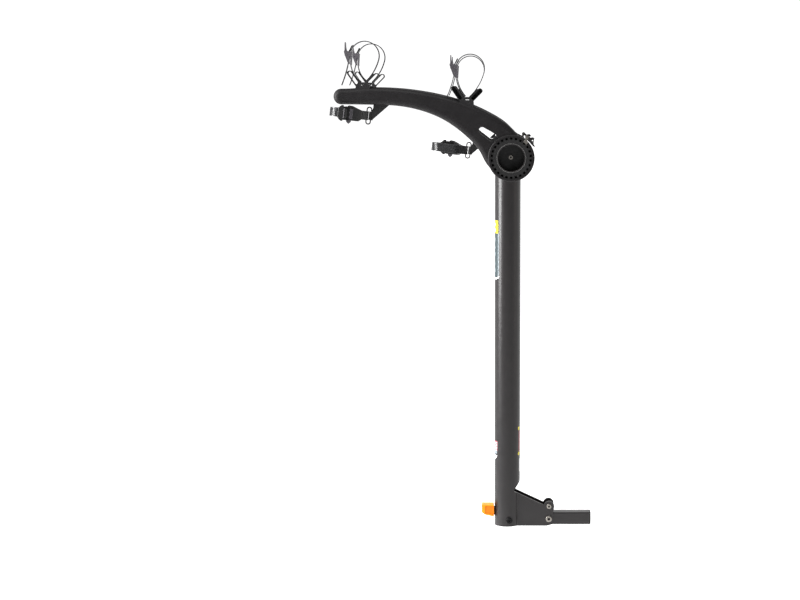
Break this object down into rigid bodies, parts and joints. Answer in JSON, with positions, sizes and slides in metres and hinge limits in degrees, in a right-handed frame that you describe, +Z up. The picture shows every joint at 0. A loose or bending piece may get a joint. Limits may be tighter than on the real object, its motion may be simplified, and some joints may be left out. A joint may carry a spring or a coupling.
{
  "type": "hitch bike rack",
  "caption": "Hitch mounted bike rack: round tilting mast on a square shank, with folding arched arms, V cradles, ladder straps and anti-sway straps.",
  "frame": {"origin": "centre of the hitch bolt's thread, on the receiver shank's centre line", "axes": "+X points to the vehicle along the shank, +Y is the hitch bolt's axis towards the far arm, +Z is up"},
  "size_m": [0.6341, 0.3474, 1.1967],
  "materials": {
    "powder_coat": "fine-textured dark grey powder coat on steel",
    "arm_plastic": "moulded charcoal plastic with a fine leather-like grain",
    "black_plastic": "moulded black plastic",
    "cradle_rubber": "soft black moulded rubber",
    "strap_plastic": "flexible dark ladder-strap plastic with a soft gloss",
    "buckle_plastic": "moulded dark grey buckle plastic",
    "yellow_plastic": "moulded amber yellow plastic",
    "zinc_steel": "zinc-plated steel",
    "black_oxide": "black oxide steel",
    "spring_steel": "bright spring wire",
    "black_wire": "black coated wire"
  },
  "bodies": {
    "shank": {"receiver_shank": "powder_coat", "hitch_thread_block": "zinc_steel", "shank_end_plug": "black_plastic", "strike_block": "powder_coat"},
    "mast": {"mast_tube": "powder_coat", "mast_foot_cap": "powder_coat", "foot_plates": "powder_coat", "foot_bolts": "zinc_steel", "foot_nuts": "zinc_steel", "foot_spacer": "zinc_steel", "lock_guides": "black_plastic", "lock_spring": "spring_steel", "pedal_bolt": "black_oxide", "pedal_nut": "black_oxide", "cross_tube": "powder_coat", "index_rings": "black_plastic", "tube_plugs": "black_plastic", "plug_screws": "zinc_steel"},
    "pedal": {"pedal_lever": "black_oxide", "pedal_pad": "yellow_plastic"},
    "lock_pin": {"lock_pin": "zinc_steel"},
    "arm_near": {"arm_near": "arm_plastic", "stop_bracket_near": "zinc_steel", "cradles_near": "cradle_rubber", "sway_bracket_near": "black_plastic", "strap_outer_near": "strap_plastic", "buckle_base_outer_near": "buckle_plastic", "strap_inner_near": "strap_plastic", "buckle_base_inner_near": "buckle_plastic"},
    "trigger_near": {"trigger_near": "black_plastic"},
    "stop_lever_near": {"stop_lever_near": "black_plastic"},
    "buckle_lever_outer_near": {"buckle_lever_outer_near": "buckle_plastic"},
    "buckle_tab_outer_near": {"buckle_tab_outer_near": "black_plastic"},
    "buckle_lever_inner_near": {"buckle_lever_inner_near": "buckle_plastic"},
    "buckle_tab_inner_near": {"buckle_tab_inner_near": "black_plastic"},
    "sway_near": {"sway_ring_near": "black_wire", "sway_strap_near": "strap_plastic", "sway_buckle_base_near": "black_plastic"},
    "sway_lever_near": {"sway_buckle_lever_near": "black_plastic"},
    "sway_tab_near": {"sway_buckle_tab_near": "buckle_plastic"},
    "arm_far": {"arm_far": "arm_plastic", "stop_bracket_far": "zinc_steel", "cradles_far": "cradle_rubber", "sway_bracket_far": "black_plastic", "strap_outer_far": "strap_plastic", "buckle_base_outer_far": "buckle_plastic", "strap_inner_far": "strap_plastic", "buckle_base_inner_far": "buckle_plastic"},
    "trigger_far": {"trigger_far": "black_plastic"},
    "stop_lever_far": {"stop_lever_far": "black_plastic"},
    "buckle_lever_outer_far": {"buckle_lever_outer_far": "buckle_plastic"},
    "buckle_tab_outer_far": {"buckle_tab_outer_far": "black_plastic"},
    "buckle_lever_inner_far": {"buckle_lever_inner_far": "buckle_plastic"},
    "buckle_tab_inner_far": {"buckle_tab_inner_far": "black_plastic"},
    "sway_far": {"sway_ring_far": "black_wire", "sway_strap_far": "strap_plastic", "sway_buckle_base_far": "black_plastic"},
    "sway_lever_far": {"sway_buckle_lever_far": "black_plastic"},
    "sway_tab_far": {"sway_buckle_tab_far": "buckle_plastic"}
  },
  "joints": [
    {"name": "mast_tilt", "type": "hinge", "parent": "shank", "child": "mast", "pos_m": [-0.0668, 0, 0], "axis": [0, -1, 0], "range_deg": [0, 45]},
    {"name": "pedal_press", "type": "hinge", "parent": "mast", "child": "pedal", "pos_m": [-0.1653, 0, -0.0019], "axis": [0, -1, 0], "range_deg": [0, 20], "stiffness_Nm_per_rad": 2, "springref_deg": -11.46},
    {"name": "lock_slide", "type": "slide", "parent": "mast", "child": "lock_pin", "axis": [-1, 0, 0], "range_m": [0, 0.00486], "deforming": ["lock_spring"]},
    {"name": "arm_near_fold", "type": "hinge", "parent": "mast", "child": "arm_near", "pos_m": [-0.1648, -0.135, 0.9032], "axis": [0, -1, 0], "range_deg": [-27.5, 96.5]},
    {"name": "trigger_near_pull", "type": "slide", "parent": "arm_near", "child": "trigger_near", "axis": [-0.6691, 0, 0.7431], "range_m": [0, 0.005], "stiffness_N_per_m": 400, "springref_m": -0.004},
    {"name": "stop_lever_near_turn", "type": "hinge", "parent": "arm_near", "child": "stop_lever_near", "pos_m": [-0.1275, -0.151, 0.9535], "axis": [0, -1, 0], "range_deg": [0, 40], "stiffness_Nm_per_rad": 0.05, "springref_deg": -17.19},
    {"name": "buckle_lever_outer_near_turn", "type": "hinge", "parent": "arm_near", "child": "buckle_lever_outer_near", "pos_m": [-0.55388, -0.135, 1.14646], "axis": [0, -1, 0], "range_deg": [0, 70]},
    {"name": "buckle_tab_outer_near_turn", "type": "hinge", "parent": "arm_near", "child": "buckle_tab_outer_near", "pos_m": [-0.54855, -0.135, 1.1518], "axis": [0, -1, 0], "range_deg": [0, 18], "stiffness_Nm_per_rad": 0.01, "springref_deg": -11.46},
    {"name": "buckle_lever_inner_near_turn", "type": "hinge", "parent": "arm_near", "child": "buckle_lever_inner_near", "pos_m": [-0.30508, -0.135, 1.11626], "axis": [0, -1, 0], "range_deg": [0, 70]},
    {"name": "buckle_tab_inner_near_turn", "type": "hinge", "parent": "arm_near", "child": "buckle_tab_inner_near", "pos_m": [-0.29975, -0.135, 1.1216], "axis": [0, -1, 0], "range_deg": [0, 18], "stiffness_Nm_per_rad": 0.01, "springref_deg": -11.46},
    {"name": "sway_near_swing", "type": "hinge", "parent": "arm_near", "child": "sway_near", "pos_m": [-0.49724, -0.135, 1.00235], "axis": [0.1219, 0, 0.9925], "range_deg": [-60, 60]},
    {"name": "sway_lever_near_turn", "type": "hinge", "parent": "sway_near", "child": "sway_lever_near", "pos_m": [-0.55814, -0.1656, 1.00933], "axis": [0.1219, 0, 0.9925], "range_deg": [0, 60]},
    {"name": "sway_tab_near_turn", "type": "hinge", "parent": "sway_near", "child": "sway_tab_near", "pos_m": [-0.54524, -0.1637, 1.00774], "axis": [-0.1219, 0, -0.9925], "range_deg": [0, 15], "stiffness_Nm_per_rad": 0.01, "springref_deg": -11.46},
    {"name": "arm_far_fold", "type": "hinge", "parent": "mast", "child": "arm_far", "pos_m": [-0.1648, 0.135, 0.9032], "axis": [0, -1, 0], "range_deg": [-27.5, 96.5]},
    {"name": "trigger_far_pull", "type": "slide", "parent": "arm_far", "child": "trigger_far", "axis": [-0.6691, 0, 0.7431], "range_m": [0, 0.005], "stiffness_N_per_m": 400, "springref_m": -0.004},
    {"name": "stop_lever_far_turn", "type": "hinge", "parent": "arm_far", "child": "stop_lever_far", "pos_m": [-0.1275, 0.151, 0.9535], "axis": [0, -1, 0], "range_deg": [0, 40], "stiffness_Nm_per_rad": 0.05, "springref_deg": -17.19},
    {"name": "buckle_lever_outer_far_turn", "type": "hinge", "parent": "arm_far", "child": "buckle_lever_outer_far", "pos_m": [-0.55388, 0.135, 1.14646], "axis": [0, -1, 0], "range_deg": [0, 70]},
    {"name": "buckle_tab_outer_far_turn", "type": "hinge", "parent": "arm_far", "child": "buckle_tab_outer_far", "pos_m": [-0.54855, 0.135, 1.1518], "axis": [0, -1, 0], "range_deg": [0, 18], "stiffness_Nm_per_rad": 0.01, "springref_deg": -11.46},
    {"name": "buckle_lever_inner_far_turn", "type": "hinge", "parent": "arm_far", "child": "buckle_lever_inner_far", "pos_m": [-0.30508, 0.135, 1.11626], "axis": [0, -1, 0], "range_deg": [0, 70]},
    {"name": "buckle_tab_inner_far_turn", "type": "hinge", "parent": "arm_far", "child": "buckle_tab_inner_far", "pos_m": [-0.29975, 0.135, 1.1216], "axis": [0, -1, 0], "range_deg": [0, 18], "stiffness_Nm_per_rad": 0.01, "springref_deg": -11.46},
    {"name": "sway_far_swing", "type": "hinge", "parent": "arm_far", "child": "sway_far", "pos_m": [-0.26274, 0.135, 0.91135], "axis": [0.1219, 0, 0.9925], "range_deg": [-60, 60]},
    {"name": "sway_lever_far_turn", "type": "hinge", "parent": "sway_far", "child": "sway_lever_far", "pos_m": [-0.32364, 0.1656, 0.91833], "axis": [-0.1219, 0, -0.9925], "range_deg": [0, 60]},
    {"name": "sway_tab_far_turn", "type": "hinge", "parent": "sway_far", "child": "sway_tab_far", "pos_m": [-0.31074, 0.1637, 0.91674], "axis": [0.1219, 0, 0.9925], "range_deg": [0, 15], "stiffness_Nm_per_rad": 0.01, "springref_deg": -11.46}
  ],
  "couplings": [
    {"joint": "lock_slide", "follows": "pedal_press", "m_per_rad": 0.0139}
  ]
}
